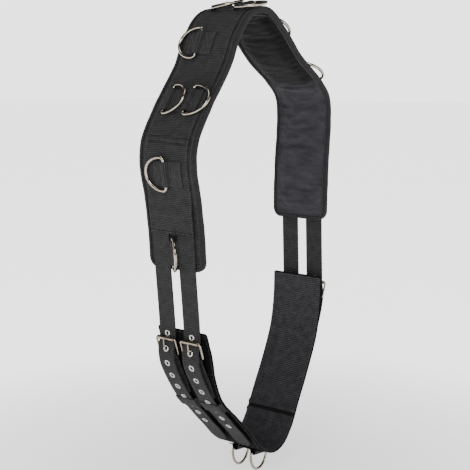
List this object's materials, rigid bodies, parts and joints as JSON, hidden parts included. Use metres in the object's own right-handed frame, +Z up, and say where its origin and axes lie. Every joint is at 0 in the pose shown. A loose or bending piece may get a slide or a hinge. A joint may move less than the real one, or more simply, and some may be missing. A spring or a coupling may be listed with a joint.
{
  "type": "padded lunging girth belt",
  "caption": "Padded nylon girth belt for horse lunging: closed loop of padded pad, buckled billets and webbing girth, with metal D-rings all round.",
  "frame": {"origin": "flat at the top of the pad's inner face, where the belt rests on a back, mid-width", "axes": "+Z up out of the back, +Y along the webbing width away from the near edge, +X across the loop to the right side"},
  "size_m": [0.4352, 0.1363, 0.8743],
  "materials": {
    "outer_webbing": "ribbed nylon webbing, dry satin",
    "lining_cloth": "soft woven cloth, matt",
    "edge_binding": "folded nylon tape, matt",
    "billet_webbing": "heavy nylon webbing, dry satin",
    "foam_core": "closed-cell foam sheet",
    "nickel_ring": "warm nickel plate, polished",
    "buckle_metal": "warm nickel plate, polished"
  },
  "bodies": {
    "pad": {"pad_shell": "outer_webbing", "pad_foam": "foam_core", "pad_lining": "lining_cloth", "pad_binding": "edge_binding", "cover_webbing": "outer_webbing", "tab_left_1": "outer_webbing", "tab_left_2": "outer_webbing", "tab_left_3": "outer_webbing", "tab_left_4": "outer_webbing", "tab_top": "outer_webbing", "tab_right_1": "outer_webbing", "tab_right_2": "outer_webbing", "tab_right_3": "outer_webbing", "tab_right_4": "outer_webbing", "billet_upper_left_far": "billet_webbing", "billet_upper_left_near": "billet_webbing", "billet_upper_right_far": "billet_webbing", "billet_upper_right_near": "billet_webbing"},
    "girth": {"girth_band": "outer_webbing", "girth_lining": "lining_cloth", "tab_girth": "outer_webbing", "billet_tail_left_far": "billet_webbing", "chape_left_far": "outer_webbing", "billet_tail_left_near": "billet_webbing", "chape_left_near": "outer_webbing", "keeper_left": "billet_webbing", "billet_tail_right_far": "billet_webbing", "chape_right_far": "outer_webbing", "billet_tail_right_near": "billet_webbing", "chape_right_near": "outer_webbing", "keeper_right": "billet_webbing"},
    "ring_left_1": {"ring_left_1": "nickel_ring"},
    "ring_left_2_far": {"ring_left_2_far": "nickel_ring"},
    "ring_left_2_near": {"ring_left_2_near": "nickel_ring"},
    "ring_left_3": {"ring_left_3": "nickel_ring"},
    "ring_left_4": {"ring_left_4": "nickel_ring"},
    "ring_top_far": {"ring_top_far": "nickel_ring"},
    "ring_top_near": {"ring_top_near": "nickel_ring"},
    "ring_right_1": {"ring_right_1": "nickel_ring"},
    "ring_right_2_far": {"ring_right_2_far": "nickel_ring"},
    "ring_right_2_near": {"ring_right_2_near": "nickel_ring"},
    "ring_right_3": {"ring_right_3": "nickel_ring"},
    "ring_right_4": {"ring_right_4": "nickel_ring"},
    "ring_girth_far": {"ring_girth_far": "nickel_ring"},
    "ring_girth_near": {"ring_girth_near": "nickel_ring"},
    "buckle_left_far": {"buckle_frame_left_far": "buckle_metal"},
    "roller_left_far": {"buckle_roller_left_far": "buckle_metal"},
    "tongue_left_far": {"buckle_tongue_left_far": "buckle_metal"},
    "buckle_left_near": {"buckle_frame_left_near": "buckle_metal"},
    "roller_left_near": {"buckle_roller_left_near": "buckle_metal"},
    "tongue_left_near": {"buckle_tongue_left_near": "buckle_metal"},
    "buckle_right_far": {"buckle_frame_right_far": "buckle_metal"},
    "roller_right_far": {"buckle_roller_right_far": "buckle_metal"},
    "tongue_right_far": {"buckle_tongue_right_far": "buckle_metal"},
    "buckle_right_near": {"buckle_frame_right_near": "buckle_metal"},
    "roller_right_near": {"buckle_roller_right_near": "buckle_metal"},
    "tongue_right_near": {"buckle_tongue_right_near": "buckle_metal"}
  },
  "joints": [
    {"name": "girth_tighten", "type": "slide", "parent": "pad", "child": "girth", "axis": [0, 0, 1], "range_m": [0, 0.081], "deforming": ["billet_upper_left_far", "billet_upper_left_near", "billet_upper_right_far", "billet_upper_right_near"]},
    {"name": "swing_left_1", "type": "hinge", "parent": "pad", "child": "ring_left_1", "pos_m": [-0.08639, 0.016, -0.04707], "axis": [0.4303, 0, 0.9027], "range_deg": [0, 165]},
    {"name": "swing_left_2_far", "type": "hinge", "parent": "pad", "child": "ring_left_2_far", "pos_m": [-0.14931, 0.03, -0.14393], "axis": [-0.5764, 0, -0.8171], "range_deg": [0, 150]},
    {"name": "swing_left_2_near", "type": "hinge", "parent": "pad", "child": "ring_left_2_near", "pos_m": [-0.14931, -0.017, -0.14393], "axis": [-0.5764, 0, -0.8171], "range_deg": [0, 150]},
    {"name": "swing_left_3", "type": "hinge", "parent": "pad", "child": "ring_left_3", "pos_m": [-0.19188, -0.001, -0.26786], "axis": [-0.1653, 0, 0.9862], "range_deg": [0, 165]},
    {"name": "swing_left_4", "type": "hinge", "parent": "pad", "child": "ring_left_4", "pos_m": [-0.17028, 0.001, -0.40395], "axis": [0.0636, 0, -0.998], "range_deg": [-27, 122]},
    {"name": "swing_top_far", "type": "hinge", "parent": "pad", "child": "ring_top_far", "pos_m": [-0.01543, 0.024, 0.01862], "axis": [-0.9814, 0, -0.1919], "range_deg": [0, 150]},
    {"name": "swing_top_near", "type": "hinge", "parent": "pad", "child": "ring_top_near", "pos_m": [-0.01543, -0.028, 0.01862], "axis": [-0.9814, 0, -0.1919], "range_deg": [0, 150]},
    {"name": "swing_right_1", "type": "hinge", "parent": "pad", "child": "ring_right_1", "pos_m": [0.06743, -0.0195, -0.01832], "axis": [-0.7399, 0, 0.6727], "range_deg": [0, 165]},
    {"name": "swing_right_2_far", "type": "hinge", "parent": "pad", "child": "ring_right_2_far", "pos_m": [0.16042, 0.022, -0.09523], "axis": [-0.8248, 0, 0.5655], "range_deg": [0, 150]},
    {"name": "swing_right_2_near", "type": "hinge", "parent": "pad", "child": "ring_right_2_near", "pos_m": [0.16042, -0.027, -0.09523], "axis": [-0.8248, 0, 0.5655], "range_deg": [0, 150]},
    {"name": "swing_right_3", "type": "hinge", "parent": "pad", "child": "ring_right_3", "pos_m": [0.21113, -0.001, -0.21187], "axis": [-0.0792, 0, -0.9969], "range_deg": [0, 165]},
    {"name": "swing_right_4", "type": "hinge", "parent": "pad", "child": "ring_right_4", "pos_m": [0.20204, 0.001, -0.34971], "axis": [0.0222, 0, 0.9998], "range_deg": [-27, 122]},
    {"name": "swing_girth_far", "type": "hinge", "parent": "girth", "child": "ring_girth_far", "pos_m": [0.03791, 0.0225, -0.80824], "axis": [-0.9967, 0, 0.0813], "range_deg": [-80, 80]},
    {"name": "swing_girth_near", "type": "hinge", "parent": "girth", "child": "ring_girth_near", "pos_m": [0.03791, -0.021, -0.80824], "axis": [-0.9967, 0, 0.0813], "range_deg": [-80, 80]},
    {"name": "buckle_tilt_left_far", "type": "hinge", "parent": "girth", "child": "buckle_left_far", "pos_m": [-0.15321, 0.0285, -0.58541], "axis": [0, -1, 0], "range_deg": [0, 3]},
    {"name": "roller_spin_left_far", "type": "hinge", "parent": "buckle_left_far", "child": "roller_left_far", "pos_m": [-0.1622, 0.0285, -0.55836], "axis": [0, 1, 0], "continuous": true},
    {"name": "tongue_lift_left_far", "type": "hinge", "parent": "buckle_left_far", "child": "tongue_left_far", "pos_m": [-0.15321, 0.0285, -0.58541], "axis": [0, -1, 0], "range_deg": [0, 3]},
    {"name": "buckle_tilt_left_near", "type": "hinge", "parent": "girth", "child": "buckle_left_near", "pos_m": [-0.15321, -0.0285, -0.58541], "axis": [0, -1, 0], "range_deg": [0, 3]},
    {"name": "roller_spin_left_near", "type": "hinge", "parent": "buckle_left_near", "child": "roller_left_near", "pos_m": [-0.1622, -0.0285, -0.55836], "axis": [0, 1, 0], "continuous": true},
    {"name": "tongue_lift_left_near", "type": "hinge", "parent": "buckle_left_near", "child": "tongue_left_near", "pos_m": [-0.15321, -0.0285, -0.58541], "axis": [0, -1, 0], "range_deg": [0, 3]},
    {"name": "buckle_tilt_right_far", "type": "hinge", "parent": "girth", "child": "buckle_right_far", "pos_m": [0.20058, 0.0285, -0.53238], "axis": [0, 1, 0], "range_deg": [0, 3]},
    {"name": "roller_spin_right_far", "type": "hinge", "parent": "buckle_right_far", "child": "roller_right_far", "pos_m": [0.20957, 0.0285, -0.50534], "axis": [0, 1, 0], "continuous": true},
    {"name": "tongue_lift_right_far", "type": "hinge", "parent": "buckle_right_far", "child": "tongue_right_far", "pos_m": [0.20058, 0.0285, -0.53238], "axis": [0, 1, 0], "range_deg": [0, 3]},
    {"name": "buckle_tilt_right_near", "type": "hinge", "parent": "girth", "child": "buckle_right_near", "pos_m": [0.20058, -0.0285, -0.53238], "axis": [0, 1, 0], "range_deg": [0, 3]},
    {"name": "roller_spin_right_near", "type": "hinge", "parent": "buckle_right_near", "child": "roller_right_near", "pos_m": [0.20957, -0.0285, -0.50534], "axis": [0, 1, 0], "continuous": true},
    {"name": "tongue_lift_right_near", "type": "hinge", "parent": "buckle_right_near", "child": "tongue_right_near", "pos_m": [0.20058, -0.0285, -0.53238], "axis": [0, 1, 0], "range_deg": [0, 3]}
  ]
}
